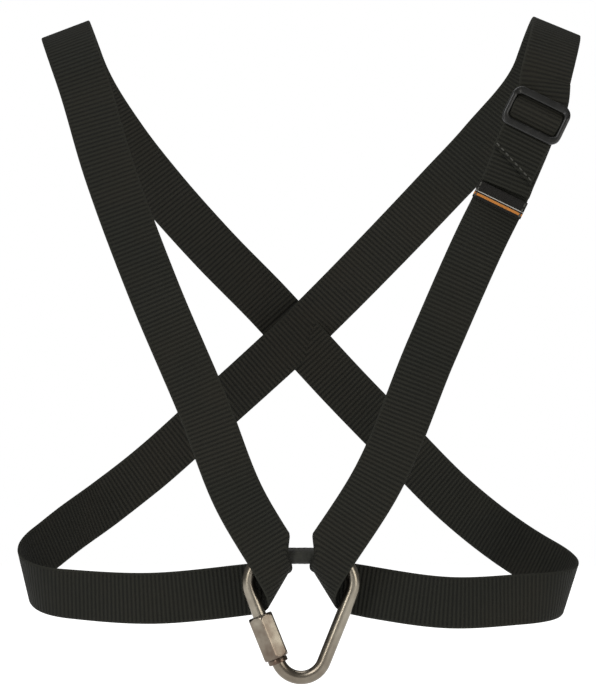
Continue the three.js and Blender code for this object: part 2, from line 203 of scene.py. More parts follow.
shoulder = form["shoulderRadius"]
side = form["sideRadius"]
route = [
    {"kind": "end", "at": onSlide(-strapEnds["foldBack"], layerPitch, strapEnds["shift"]), "skew": 0.0},
    barBend(-slide["lowerBarDown"], lowerBarOut, outerWrap, 1),
    barBend(0.0, middleBarOut, innerWrap, -1),
    pointAt(onSlide(-strapEnds["foldBack"] / 2, 0.0, strapEnds["shift"] / 2)),
    pointAt(onSlide(-strapEnds["foldBack"] - strapEnds["labelHeight"], 0.0, strapEnds["shift"])),
    *pointsAt(frontRight),
    bendAt((0.071, -0.885, -1.0355), 121.5, 211.5, fold["radius"], -1),
    *pointsAt(bandRight),
    bendAt((0.991, 0.0, -1.061), 72.5, -17.5, side, 1, (0.34, 0.16)),
    *pointsAt(backFromRightSide, form["crossingGap"]),
    bendAt((-0.852, 0.0, 0.0), 20.7, 110.7, shoulder, 1, (0.02, -0.02)),
    *pointsAt(frontLeft),
    bendAt((-0.0555, -0.885, -1.038), 60, -30, fold["radius"], 1),
    *pointsAt(bandLeft),
    bendAt((-1.004, 0.0, -1.039), 103, 193, side, -1, (0.22, 0.2), 10),
    *pointsAt(backFromLeftSide),
    bendAt((0.94, 0.0, 0.006), -22.3, 67.7, shoulder, 1, (-0.06, 0.14)),
    barBend(slide["upperBarUp"], upperBarOut, innerWrap, -1, (0.12, 0.0)),
    barBend(0.0, middleBarOut, outerWrap, 1),
    barBend(-slide["lowerBarDown"], lowerBarOut, innerWrap, -1),
    {"kind": "end", "at": onSlide(-strapEnds["tail"], 2 * layerPitch), "skew": strapEnds["tailSkew"]},
]


# Where the strap meets and leaves a bend, from the points before and after it.
def settleBend(bend, before, after):
    axis, radius, turn = bend["axis"], bend["radius"], bend["turn"]
    if "up" not in bend:
        bend["up"] = Vector((0, -1, 0)).cross(axis).normalized()
        bend["across"] = bend["up"].cross(axis)

    def seen(p):
        d = p - bend["centre"]
        x, y = d.dot(bend["across"]), d.dot(bend["up"])
        return math.atan2(y, x), max(math.hypot(x, y), radius), d.dot(axis)

    fromAngle, fromFar, fromAlong = seen(before)
    toAngle, toFar, toAlong = seen(after)
    start = fromAngle + turn * math.acos(radius / fromFar)
    end = toAngle - turn * math.acos(radius / toFar)
    wrap = (turn * (end - start)) % (2 * math.pi)
    half = radius * wrap / 2
    runIn = max(math.sqrt(max(fromFar**2 - radius**2, 0.0)), radius)
    runOut = max(math.sqrt(max(toFar**2 - radius**2, 0.0)), radius)
    slopeIn = (bend.get("alongIn", 0.0) - fromAlong) / runIn
    slopeOut = (toAlong - bend.get("alongOut", 0.0)) / runOut
    if bend["slopes"]:
        slopeIn, slopeOut = bend["slopes"]
    mean, change = (slopeIn + slopeOut) / 2, slopeOut - slopeIn
    bend["alongIn"] = -mean * half + change * half / 4
    bend["alongOut"] = mean * half + change * half / 4
    bend.update(start=start, wrap=wrap, half=half, mean=mean, change=change)


def onBend(bend, t):
    angle = bend["start"] + bend["turn"] * bend["wrap"] * t
    half = bend["half"]
    run = (2 * t - 1) * half
    slope = bend["mean"] + bend["change"] * (t - 0.5)
    along = bend["mean"] * run + bend["change"] * run * run / (4 * half)
    radial = bend["across"] * math.cos(angle) + bend["up"] * math.sin(angle)
    around = bend["axis"].cross(radial) * bend["turn"]
    centre = bend["centre"] + radial * bend["radius"] + bend["axis"] * along
    return centre, (around + bend["axis"] * slope).normalized(), radial


def endOf(node, t):
    if node["kind"] == "bend":
        return onBend(node, t)[0] if "half" in node else node["centre"]
    return node["at"]


def sectionOnBend(bend, t, facing):
    centre, tangent, radial = onBend(bend, t)
    face = -1.0 if radial.dot(facing) < 0 else 1.0
    normal = radial * face
    across = normal.cross(tangent)
    skew = tangent.dot(bend["axis"]) / across.dot(bend["axis"])
    return {"centre": centre, "tangent": tangent, "normal": normal, "skew": skew, "face": face}


def smooth(t):
    t = min(1.0, max(0.0, t))
    return t * t * (3 - 2 * t)


# Sections between two bends, or between a bend and an end, on a smooth curve.
def spanStations(nodes, last, facing):
    first, end = nodes[0], nodes[-1]
    knots = [endOf(node, 1.0 if i == 0 else 0.0) for i, node in enumerate(nodes)]
    chords = [b - a for a, b in zip(knots, knots[1:])]
    tangents = []
    for i in range(len(knots)):
        if i == 0:
            tangents.append(onBend(first, 1)[1] if first["kind"] == "bend" else chords[0].normalized())
        elif i == len(knots) - 1:
            tangents.append(onBend(end, 0)[1] if end["kind"] == "bend" else chords[-1].normalized())
        else:
            a, b = chords[i - 1], chords[i]
            tangents.append((a / a.length_squared + b / b.length_squared).normalized())
    lengths = [c.length for c in chords]
    total = sum(lengths)
    startNormal = last["normal"] if last else facing
    endNormal, endSkew = startNormal, end.get("skew", 0.0)
    if end["kind"] == "bend":
        section = sectionOnBend(end, 0, facing)
        endNormal = section["normal"] if section["normal"].dot(startNormal) >= 0 else -section["normal"]
        endSkew = section["skew"]
    startSkew = last["skew"] if last else first["skew"]
    fade = min(strap["width"] * strap["skewFade"], total)
    made, done = [], 0.0
    for i, length in enumerate(lengths):
        steps = max(2, round(length / strap["ringStep"]))
        p0, p3 = knots[i], knots[i + 1]
        p1 = p0 + tangents[i] * (length / 3)
        p2 = p3 - tangents[i + 1] * (length / 3)
        for j in range(0 if i == 0 and not last else 1, steps + 1):
            if i == len(lengths) - 1 and j == steps and end["kind"] == "bend":
                continue
            t = j / steps
            u = 1 - t
            centre = p0 * u**3 + p1 * (3 * u * u * t) + p2 * (3 * u * t * t) + p3 * t**3
            tangent = ((p1 - p0) * (u * u) + (p2 - p1) * (2 * u * t) + (p3 - p2) * (t * t)).normalized()
            run = done + length * t
            normal = startNormal.lerp(endNormal, run / total)
            normal = (normal - tangent * normal.dot(tangent)).normalized()
            nearStart = max(0.0, 1 - run / fade) ** 2
            nearEnd = max(0.0, 1 - (total - run) / fade) ** 2
            skew = startSkew * nearStart + endSkew * nearEnd
            made.append({"centre": centre, "tangent": tangent, "normal": normal, "skew": skew, "flare": 0.0})
        done += length
    return made


def strapStations():
    for _ in range(strap["settleRounds"]):
        for i, node in enumerate(route):
            if node["kind"] == "bend":
                settleBend(node, endOf(route[i - 1], 1.0), endOf(route[i + 1], 0.0))
    stations, facing, at = [], outward.copy(), 0
    while at < len(route) - 1:
        node = route[at]
        if node["kind"] == "bend":
            ringStep = strap["bendStep"] * strap["ringStep"]
            count = max(strap["bendRings"], math.ceil(node["radius"] * node["wrap"] / ringStep))
            for i in range(count + 1):
                t = i / count
                spot = sectionOnBend(node, t, facing)
                facing = spot["normal"]
                rise = min(smooth(t / fold["flareShare"]), smooth((1 - t) / fold["flareShare"]))
                spot["flare"] = rise * spot["face"] if node["radius"] == fold["radius"] else 0.0
                stations.append(spot)
        following = at + 1
        while route[following]["kind"] == "point":
            following += 1
        stations += spanStations(route[at:following + 1], stations[-1] if stations else None, facing)
        at = following
        facing = stations[-1]["normal"]
    run = 0.0
    for i, spot in enumerate(stations):
        if i:
            run += (spot["centre"] - stations[i - 1]["centre"]).length
        spot["run"] = run
    return stations


# A spot on a section: a across the strap, h along its normal.
# At the two folds round the link one edge flares outwards and is gathered in.
def onSection(spot, a, h):
    across = spot["normal"].cross(spot["tangent"])
    sideways = across + spot["tangent"] * spot["skew"]
    half = strap["width"] / 2
    straight = half - fold["flareWidth"]
    past = max(0.0, a - straight)
    curl = spot["flare"] / fold["flareRadius"]
    angle = past * curl
    out, along = 0.0, past
    if abs(curl) > fold["leastCurl"]:
        out, along = (1 - math.cos(angle)) / curl, math.sin(angle) / curl
    reach = min(a, straight) + along * (1 - fold["gather"] * abs(spot["flare"]))
    face = (spot["normal"] * math.cos(angle) - sideways * math.sin(angle)).normalized()
    return spot["centre"] + sideways * reach + spot["normal"] * out + face * h


def meshFrom(name, points, faces, uvs=None, sharp=None):
    mesh = bpy.data.meshes.new(name)
    mesh.from_pydata([tuple(p) for p in points], [], faces)
    if uvs:
        layer = mesh.uv_layers.new(name="weave")
        for loop in mesh.loops:
            layer.data[loop.index].uv = uvs[loop.vertex_index]
    shaped = bmesh.new()
    shaped.from_mesh(mesh)
    bmesh.ops.recalc_face_normals(shaped, faces=shaped.faces)
    shaped.to_mesh(mesh)
    shaped.free()
    mesh.shade_smooth()
    if sharp:
        mesh.set_sharp_from_angle(angle=math.radians(sharp))
    thing = bpy.data.objects.new(name, mesh)
    bpy.context.scene.collection.objects.link(thing)
    return thing


def ringFaces(rings, size, closed=False):
    faces = []
    for i in range(rings if closed else rings - 1):
        for j in range(size):
            a, b = i * size + j, i * size + (j + 1) % size
            c, d = ((i + 1) % rings) * size + (j + 1) % size, ((i + 1) % rings) * size + j
            faces.append((a, b, c, d))
    if not closed:
        faces.append(tuple(range(size))[::-1])
        faces.append(tuple(range((rings - 1) * size, rings * size)))
    return faces


def sectionOutline():
    half, r = strap["width"] / 2, halfThick
    flat = half - r
    columns, steps = strap["faceColumns"], strap["edgeSteps"]
    outline = [(-flat + 2 * flat * i / columns, -r) for i in range(columns + 1)]
    for i in range(1, steps):
        turn = -math.pi / 2 + math.pi * i / steps
        outline.append((flat + r * math.cos(turn), r * math.sin(turn)))
    outline += [(flat - 2 * flat * i / columns, r) for i in range(columns + 1)]
    for i in range(1, steps):
        turn = math.pi / 2 + math.pi * i / steps
        outline.append((-flat + r * math.cos(turn), r * math.sin(turn)))
    return outline


print("laying the strap")
stations = strapStations()


def makeStrap():
    outline = sectionOutline()
    points, uvs = [], []
    for spot in stations:
        for a, h in outline:
            points.append(onSection(spot, a, h))
            uvs.append((spot["run"] + a * spot["skew"], a + (strap["width"] if h > 0 else 0.0)))
    return meshFrom("strap", points, ringFaces(len(stations), len(outline)), uvs)


# Shader maths as plain expressions.
class Wire:
    def __init__(self, finish, socket):
        self.finish = finish
        self.socket = socket

    def maths(self, operation, *values, clamp=False):
        settings = {"operation": operation, "use_clamp": clamp}
        return self.finish.node("ShaderNodeMath", settings, dict(enumerate(values)))

    def __add__(self, other):
        return self.maths("ADD", self, other)

    def __radd__(self, other):
        return self.maths("ADD", other, self)

    def __sub__(self, other):
        return self.maths("SUBTRACT", self, other)

    def __rsub__(self, other):
        return self.maths("SUBTRACT", other, self)

    def __mul__(self, other):
        return self.maths("MULTIPLY", self, other)

    def __rmul__(self, other):
        return self.maths("MULTIPLY", other, self)

    def __truediv__(self, other):
        return self.maths("DIVIDE", self, other)

    def __rtruediv__(self, other):
        return self.maths("DIVIDE", other, self)

    def __pow__(self, other):
        return self.maths("POWER", self, other)

    def __rpow__(self, other):
        return self.maths("POWER", other, self)

    def __abs__(self):
        return self.maths("ABSOLUTE", self)

    # A sine that runs from 0 to 1, one wave to each pitch.
    def wave(self, pitch):
        return self.maths("SINE", self * (2 * math.pi / pitch)) * 0.5 + 0.5

    def clamped(self):
        return self.maths("ADD", self, 0.0, clamp=True)

    def above(self, other):
        return self.maths("GREATER_THAN", self, other)

    def inside(self, low, high):
        return self.above(low) * (1.0 - self.above(high))

    def between(self, low, high):
        return ((self - low) / (high - low)).clamped()


class Finish:
    def __init__(self, name, **even):
        self.material = bpy.data.materials.new(name)
        self.material.use_nodes = True
        self.tree = self.material.node_tree
        self.shader = self.tree.nodes["Principled BSDF"]
        self.shade(**even)

    def feed(self, socket, value):
        if isinstance(value, Wire):
            self.tree.links.new(value.socket, socket)
        elif isinstance(value, tuple) and socket.type == "RGBA":
            socket.default_value = (*value, 1.0)
        else:
            socket.default_value = value

    def node(self, kind, settings=None, sockets=None, out=0):
        made = self.tree.nodes.new(kind)
        for key, value in (settings or {}).items():
            setattr(made, key, value)
        for key, value in (sockets or {}).items():
            self.feed(made.inputs[key], value)
        return Wire(self, made.outputs[out])

    def mix(self, share, low, high):
        return self.node("ShaderNodeMix", {"data_type": "RGBA"}, {0: share, 6: low, 7: high}, out=2)

    def noise(self, where, scale, detail):
        sockets = {"Vector": where, "Scale": scale, "Detail": detail}
        return self.node("ShaderNodeTexNoise", None, sockets)

    def objectPlace(self):
        return self.node("ShaderNodeTexCoord", None, None, out=3)

    def parts(self, vector):
        made = self.node("ShaderNodeSeparateXYZ", None, {0: vector})
        outputs = made.socket.node.outputs
        return [Wire(self, outputs[i]) for i in range(3)]

    def weaveMap(self):
        return self.node("ShaderNodeUVMap", {"uv_map": "weave"})

    def bump(self, height, distance, strength=1.0):
        sockets = {"Strength": strength, "Distance": distance, "Height": height}
        return self.node("ShaderNodeBump", None, sockets)

    def shade(self, **sockets):
        for key, value in sockets.items():
            self.feed(self.shader.inputs[key.replace("_", " ")], value)
        return self.material


# In the looks below a noise is its scale and detail, a band is where a mask starts
# and is full, and a pair for roughness is the least value and what a noise adds to it.
webbingLook = {
    # The rib colours are painted shade in the grooves and painted light on the ridges.
    "shadedGroove": (0.0014, 0.0015, 0.0011),
    "litRidge": (0.0122, 0.0126, 0.0093),
    # edge is a painted highlight along the rounded selvedge.
    "edge": (0.019, 0.0195, 0.015),
    # This colour is dust, and in the broad patches also painted light on the ridges.
    "dustAndLight": (0.02, 0.0172, 0.0125),
    "yarnPitch": 0.0009,
    "cloud": (34.0, 3.0),
    "fuzz": (900.0, 2.0),
    "patches": (7.0, 2.0),
    "cloudBand": (0.45, 0.75),
    "cloudWear": 0.18,
    "patchBand": (0.45, 0.68),
    "patchWearAndLight": 0.42,
    "ribSoftness": 0.7,
    "selvedge": (0.0004, 0.0016),
    "selvedgeFlat": 0.75,
    "selvedgeHighlight": 0.55,
    "roughness": (0.7, 0.2),
    "wobble": 0.0006,
    "relief": 0.00055,
    "shine": 0.14,
}


def webbingFinish():
    finish = Finish("ribbedWebbing", Specular_IOR_Level=webbingLook["shine"])
    along, across, _ = finish.parts(finish.weaveMap())
    width = strap["width"]
    onBack = across.above(width / 2)
    centred = across - onBack * width
    where = finish.objectPlace()
    cloud = finish.noise(where, *webbingLook["cloud"])
    fuzz = finish.noise(where, *webbingLook["fuzz"])
    patches = finish.noise(where, *webbingLook["patches"])
    rib = (along + (cloud - 0.5) * webbingLook["wobble"]).wave(strap["ribPitch"])
    yarn = centred.wave(webbingLook["yarnPitch"])
    fromEdge = width / 2 - abs(centred)
    selvedge = 1.0 - fromEdge.between(*webbingLook["selvedge"])
    ribHeight = (rib ** webbingLook["ribSoftness"]) * (1.0 - selvedge * webbingLook["selvedgeFlat"])
    height = ribHeight * 0.8 + yarn * 0.14 + fuzz * 0.06 + selvedge * 0.25
    # Painted light and shade: the ridges are coloured lighter and the grooves darker.
    lit = (ribHeight * 0.75 + yarn * 0.12 + fuzz * 0.2).clamped()
    colour = finish.mix(lit, webbingLook["shadedGroove"], webbingLook["litRidge"])
    # A paler line along each edge: a painted highlight on the selvedge.
    colour = finish.mix(selvedge * webbingLook["selvedgeHighlight"], colour, webbingLook["edge"])
    # Fine clouds of dust, and broad patches of paler, browner ridges that are partly dust and partly painted
    # light.
    cloudWear = cloud.between(*webbingLook["cloudBand"]) * webbingLook["cloudWear"]
    patchWearAndLight = patches.between(*webbingLook["patchBand"]) * ribHeight * webbingLook["patchWearAndLight"]
    colour = finish.mix(cloudWear + patchWearAndLight, colour, webbingLook["dustAndLight"])
    least, added = webbingLook["roughness"]
    return finish.shade(
        Base_Color=colour,
        Roughness=cloud * added + least,
        Normal=finish.bump(height, webbingLook["relief"]),
    )


# Buckle: a ring of round-edged bars and rails, and a middle bar.
def roundedSection(halfWide, halfDeep, power):
    section = []
    for i in range(slide["sectionSides"]):
        turn = 2 * math.pi * i / slide["sectionSides"]
        c, s = math.cos(turn), math.sin(turn)
        section.append((
            halfWide * math.copysign(abs(c) ** power, c),
            halfDeep * math.copysign(abs(s) ** power, s),
        ))
    return section


def makeSlide():
    rail, depth, corner = slide["rail"], slide["barDepth"], slide["cornerRadius"]
    reach = (slide["width"] - rail) / 2
    top = slide["upperBarUp"] + (slide["upperBarHeight"] - depth) / 2
    bottom = -slide["lowerBarDown"] - (slide["lowerBarHeight"] - depth) / 2
    railOut = (middleBarOut + lowerBarOut) / 2
    railHalfDepth = (lowerBarOut - middleBarOut + depth) / 2
    cornerSteps, straightSteps = slide["cornerSteps"], slide["straightSteps"]
    path = []

    def arc(cx, cz, start):
        for i in range(cornerSteps + 1):
            turn = start + math.pi / 2 * i / cornerSteps
            path.append((cx + corner * math.cos(turn), cz + corner * math.sin(turn), turn + math.pi / 2))

    def straight(x0, z0, x1, z1):
        turn = math.atan2(z1 - z0, x1 - x0)
        for i in range(1, straightSteps):
            share = i / straightSteps
            path.append((x0 + (x1 - x0) * share, z0 + (z1 - z0) * share, turn))

    arc(reach - corner, bottom + corner, -math.pi / 2)
    straight(reach, bottom + corner, reach, top - corner)
    arc(reach - corner, top - corner, 0)
    straight(reach - corner, top, -reach + corner, top)
    arc(-reach + corner, top - corner, math.pi / 2)
    straight(-reach, top - corner, -reach, bottom + corner)
    arc(-reach + corner, bottom + corner, math.pi)
    straight(-reach + corner, bottom, reach - corner, bottom)
    points = []
    for x, z, turn in path:
        bar = smooth(abs(math.cos(turn)))
        share = smooth((z - bottom) / (top - bottom))
        barHigh = slide["lowerBarHeight"] * (1 - share) + slide["upperBarHeight"] * share
        barOut = lowerBarOut * (1 - share) + upperBarOut * share
        halfWide = (rail + (barHigh - rail) * bar) / 2
        halfDeep = railHalfDepth + (depth / 2 - railHalfDepth) * bar
        out = railOut + (barOut - railOut) * bar
        inPlane = Vector((math.sin(turn), -math.cos(turn)))
        for w, d in roundedSection(halfWide, halfDeep, slide["ringPower"]):
            points.append(onSlide(z + inPlane.y * w, out + d, x + inPlane.x * w))
    size, rings = slide["sectionSides"], slide["middleBarRings"]
    faces = ringFaces(len(path), size, closed=True)
    start = len(points)
    for i in range(rings):
        x = -reach + 2 * reach * i / (rings - 1)
        swell = 1.0 + slide["middleBarSwell"] * smooth(abs(x) / reach - slide["swellFrom"])
        halfHigh = slide["middleBarHeight"] / 2 * swell
        for w, d in roundedSection(halfHigh, depth / 2, slide["middleBarPower"]):
            points.append(onSlide(w, middleBarOut + d, x))
    faces += [tuple(start + v for v in face) for face in ringFaces(rings, size)]
    return meshFrom("slideBuckle", points, faces, sharp=50)


plasticLook = {
    "body": (0.0035, 0.0036, 0.0031),
    "rubbed": (0.011, 0.011, 0.0098),
    "grain": (1500.0, 3.0),
    "patches": (160.0, 5.0),
    "rubbedBand": (0.5, 0.72),
    "rubbedShare": 0.5,
    "roughness": (0.3, 0.22),
    "relief": 0.00006,
    "reliefShare": 0.6,
    "shine": 0.36,
}


def plasticFinish():
    finish = Finish("mouldedPlastic", Specular_IOR_Level=plasticLook["shine"])
    where = finish.objectPlace()
    grain = finish.noise(where, *plasticLook["grain"])
    patches = finish.noise(where, *plasticLook["patches"])
    rubbed = patches.between(*plasticLook["rubbedBand"]) * plasticLook["rubbedShare"]
    least, added = plasticLook["roughness"]
    return finish.shade(
        Base_Color=finish.mix(rubbed, plasticLook["body"], plasticLook["rubbed"]),
        Roughness=patches * added + least,
        Normal=finish.bump(grain, plasticLook["relief"], plasticLook["reliefShare"]),
    )


link = {
    "wireRadius": 0.004,
    "barHalf": 0.0146,
    "cornerRadius": 0.0157,
    "legAngle": math.radians(21.5),
    "bottomRadius": 0.0141,
    "height": 0.0705,
    "seat": Vector((0.0012, -0.072, -0.3047)),
    "mouth": 0.011,
    "sides": 36,
    "step": 0.0011,
}

sleeve = {
    "flats": 0.0142,
    "length": 0.0296,
    "endRadius": 0.0066,
    "chamfer": 0.0034,
    "chamferPower": 0.8,
    "chamferSteps": 8,
    "overCorner": 0.0001,
    "flatSteps": 10,
    "collarRadius": 0.0058,
    "collarLength": 0.003,
    "collarEase": 0.0004,
    "neckDepth": 0.0003,
    "neckLength": 0.0007,
    "bottomUp": -0.0006,
    "gap": 0.0003,
    "sides": 120,
    "edgeSharpness": 44,
}

legAngle = link["legAngle"]
legTop = Vector((
    -link["barHalf"] - link["cornerRadius"] * math.cos(legAngle),
    -link["cornerRadius"] - link["cornerRadius"] * math.sin(legAngle),
))
bottomCentre = -link["height"] + link["bottomRadius"]
legBottom = Vector((
    -link["bottomRadius"] * math.cos(legAngle),
    bottomCentre - link["bottomRadius"] * math.sin(legAngle),
))
legLine = (legBottom - legTop).normalized()
sleeveRun = (legBottom - legTop).length - sleeve["bottomUp"] - sleeve["length"] / 2
sleeveMiddle = legTop + legLine * sleeveRun


def inLink(p, out=0.0):
    return link["seat"] + Vector((p[0], -out, p[1]))


def linkPath():
    path = []

    def line(a, b):
        count = max(2, round((b - a).length / link["step"]))
        turn = math.atan2(b.y - a.y, b.x - a.x)
        for i in range(count + 1):
            path.append((a.lerp(b, i / count), turn))

    def arc(cx, cy, radius, start, end):
        count = round(abs(end - start) * radius / link["step"])
        for i in range(1, count):
            turn = start + (end - start) * i / count
            spot = Vector((cx + radius * math.cos(turn), cy + radius * math.sin(turn)))
            path.append((spot, turn - math.pi / 2))

    half, corner, bottom = link["barHalf"], link["cornerRadius"], link["bottomRadius"]
    rightTop = Vector((-legTop.x, legTop.y))
    rightBottom = Vector((-legBottom.x, legBottom.y))
    line(sleeveMiddle - legLine * link["mouth"] / 2, legTop)
    arc(-half, -corner, corner, math.pi + legAngle, math.pi / 2)
    line(Vector((-half, 0.0)), Vector((half, 0.0)))
    arc(half, -corner, corner, math.pi / 2, -legAngle)
    line(rightTop, rightBottom)
    arc(0.0, bottomCentre, bottom, -legAngle, legAngle - math.pi)
    line(legBottom, sleeveMiddle + legLine * link["mouth"] / 2)
    return path


def makeLinkBody():
    points, sides = [], link["sides"]
    path = linkPath()
    for spot, turn in path:
        inPlane = Vector((-math.sin(turn), math.cos(turn)))
        for i in range(sides):
            angle = 2 * math.pi * i / sides
            reach = link["wireRadius"] * math.cos(angle)
            points.append(inLink(spot + inPlane * reach, link["wireRadius"] * math.sin(angle)))
    return meshFrom("linkWire", points, ringFaces(len(path), sides), sharp=60)


def makeSleeve():
    flats = sleeve["flats"] / 2
    corner = sleeve["flats"] / math.sqrt(3)
    half, bore = sleeve["length"] / 2, link["wireRadius"] + sleeve["gap"]
    hexLow = -half + sleeve["collarLength"]
    count = sleeve["sides"]

    chamfer, bevelSteps, flatSteps = sleeve["chamfer"], sleeve["chamferSteps"], sleeve["flatSteps"]

    # The ends' bevel, from the end radius out past the hexagon's corners.
    def coneAt(h):
        nearest = min(h - hexLow, half - h)
        share = min(1.0, max(0.0, nearest / chamfer))
        rise = corner + sleeve["overCorner"] - sleeve["endRadius"]
        return sleeve["endRadius"] + rise * math.sin(share * math.pi / 2) ** sleeve["chamferPower"]

    flatLength = half - hexLow - 2 * chamfer
    heights = [hexLow + chamfer * i / bevelSteps for i in range(bevelSteps + 1)]
    heights += [hexLow + chamfer + flatLength * i / flatSteps for i in range(1, flatSteps)]
    heights += [half - chamfer * (1 - i / bevelSteps) for i in range(bevelSteps + 1)]
    collar, ease = sleeve["collarRadius"], sleeve["collarEase"]
    profile = [
        ("round", bore, half),
        ("round", bore, -half),
        ("round", collar - ease, -half),
        ("round", collar, -half + ease),
        ("round", collar, hexLow - sleeve["neckLength"]),
        ("round", collar - sleeve["neckDepth"], hexLow),
    ]
    profile += [("hex", coneAt(h), h) for h in heights]
    points = []
    for kind, radius, h in profile:
        for i in range(count):
            angle = 2 * math.pi * i / count
            reach = radius
            if kind == "hex":
                power = sleeve["edgeSharpness"]
                total = sum(max(0.0, math.cos(angle - math.pi / 3 * k)) ** power for k in range(6))
                reach = min(radius, flats / total ** (1 / power))
            x, y = reach * math.cos(angle), reach * math.sin(angle)
            spot = sleeveMiddle - legLine * h + Vector((-legLine.y, legLine.x)) * x
            points.append(inLink(spot, y))
    faces = ringFaces(len(profile), count, closed=True)
    return meshFrom("screwSleeve", points, faces, sharp=28)


steelLook = {
    "bright": (0.235, 0.212, 0.172),
    "dull": (0.16, 0.142, 0.113),
    "tarnishAndReflection": (0.09, 0.062, 0.047),
    "cloud": (60.0, 3.0),
    "grain": (1400.0, 2.0),
    "dullBand": (0.35, 0.7),
    "tarnishAndReflectionBand": (0.36, 0.62),
    "scratchScale": 330.0,
    "scratchWidth": 0.06,
    "relief": 0.000006,
    "reliefShare": 0.12,
}


def steelFinish(name, tarnishAndReflection, roughness):
    finish = Finish(name, Metallic=1.0)
    where = finish.objectPlace()
    cloud = finish.noise(where, *steelLook["cloud"])
    grain = finish.noise(where, *steelLook["grain"])
    sockets = {"Vector": where, "Scale": steelLook["scratchScale"]}
    marks = finish.node("ShaderNodeTexVoronoi", {"feature": "DISTANCE_TO_EDGE"}, sockets)
    scratch = 1.0 - marks.between(0.0, steelLook["scratchWidth"])
    dull = cloud.between(*steelLook["dullBand"])
    colour = finish.mix(dull, steelLook["bright"], steelLook["dull"])
    # Brown patches: tarnish, and where the share is full, as on the sleeve, also a painted reddish-brown
    # reflection.
    tarnishAndReflectionShare = cloud.between(*steelLook["tarnishAndReflectionBand"]) * tarnishAndReflection
    colour = finish.mix(tarnishAndReflectionShare, colour, steelLook["tarnishAndReflection"])
    height = grain * 0.5 + cloud * 0.5
    return finish.shade(
        Base_Color=colour,
        Roughness=cloud * 0.08 + scratch * 0.03 + roughness,
        Normal=finish.bump(height, steelLook["relief"], steelLook["reliefShare"]),
    )


tube = {
    "gap": 0.0003,
    "wall": 0.0005,
    "edge": 0.0001,
    "crease": 0.00006,
    "rings": 60,
    "sides": 40,
    "soft": (0.006, 0.0062, 0.0046),
    "pale": (0.015, 0.0153, 0.0118),
    "mottle": (240.0, 5.0),
    "fuzz": (2200.0, 3.0),
    "mottleBand": (0.3, 0.7),
    "roughness": (0.5, 0.2),
    "relief": 0.00012,
    "shine": 0.2,
}


def makeTube():
    inner = link["wireRadius"] + tube["gap"]
    outer = inner + tube["wall"]
    half, edge, points = link["barHalf"], tube["edge"], []
    profile = [(inner, half), (inner, -half), (outer - edge, -half)]
    for i in range(tube["rings"] + 1):
        share = i / tube["rings"]
        x = -half + edge + 2 * (half - edge) * share
        crease = tube["crease"] * math.sin(share * 41) * math.sin(share * 17 + 1)
        profile.append((outer + crease - tube["crease"], x))
    profile.append((outer - edge, half))
    for radius, x in profile:
        for i in range(tube["sides"]):
            angle = 2 * math.pi * i / tube["sides"]
            points.append(inLink((x, radius * math.cos(angle)), radius * math.sin(angle)))
    return meshFrom("barTube", points, ringFaces(len(profile), tube["sides"], closed=True), sharp=60)


def tubeFinish():
    finish = Finish("softTube", Specular_IOR_Level=tube["shine"])
    where = finish.objectPlace()
    mottle = finish.noise(where, *tube["mottle"])
    fuzz = finish.noise(where, *tube["fuzz"])
    least, added = tube["roughness"]
    return finish.shade(
        Base_Color=finish.mix(mottle.between(*tube["mottleBand"]), tube["soft"], tube["pale"]),
        Roughness=mottle * added + least,
        Normal=finish.bump(mottle * 0.6 + fuzz * 0.4, tube["relief"]),
    )


tag = {
    "width": 0.031,
    "height": 0.0105,
    "thickness": 0.0008,
    "gap": 0.0013,
    "drop": 0.0018,
    "stripe": (0.42, 0.16, 0.03),
    "thread": (0.4, 0.39, 0.36),
    "cloth": (0.0032, 0.0028, 0.0023),
    "sheen": (0.02, 0.018, 0.015),
    "stripeEdges": (-0.0036, -0.0021),
    "threadEdges": (-0.0013, -0.0008),
    "warpPitch": 0.0005,
    "weftPitch": 0.0006,
    "cloud": (500.0, 4.0),
    "stripeLeast": 0.7,
    "threadShare": 0.8,
    "sheenShare": 0.15,
    "roughness": (0.6, 0.15),
    "columns": 60,
    "rows": 20,
    "edgeThickness": 0.35,  # of the thickness
    "pucker": 0.00016,
    "relief": 0.00012,
    "shine": 0.16,
}

tagUp = -strapEnds["foldBack"] - tag["drop"] - tag["height"] / 2
tagOut = halfThick + tag["gap"] + tag["thickness"] / 2


def makeTag():
    columns, rows = tag["columns"], tag["rows"]
    points, uvs = [], []
    for face in (1, -1):
        for j in range(rows + 1):
            for i in range(columns + 1):
                x, y = 2 * i / columns - 1, 2 * j / rows - 1
                soft = (1 - x**20) * (1 - y**12)
                waves = math.sin(x * 19 + 1) * math.sin(y * 3 + x * 5) * (1 - y * y)
                fullness = tag["edgeThickness"] + (1 - tag["edgeThickness"]) * soft
                rise = face * tag["thickness"] / 2 * fullness + tag["pucker"] * waves * soft
                sideways, upwards = x * tag["width"] / 2, y * tag["height"] / 2
                points.append(onSlide(tagUp + upwards, tagOut + rise, strapEnds["shift"] + sideways))
                uvs.append((sideways, upwards))
    size = columns + 1
    sheet = size * (rows + 1)
    faces = []
    for base in (0, sheet):
        for j in range(rows):
            for i in range(columns):
                a = base + j * size + i
                faces.append((a, a + 1, a + size + 1, a + size))
    rim = list(range(columns)) + [columns + j * size for j in range(rows)]
    rim += [rows * size + columns - i for i in range(columns)] + [(rows - j) * size for j in range(rows)]
    for i, v in enumerate(rim):
        w = rim[(i + 1) % len(rim)]
        faces.append((v, w, w + sheet, v + sheet))
    return meshFrom("wovenTag", points, faces, uvs, sharp=70)


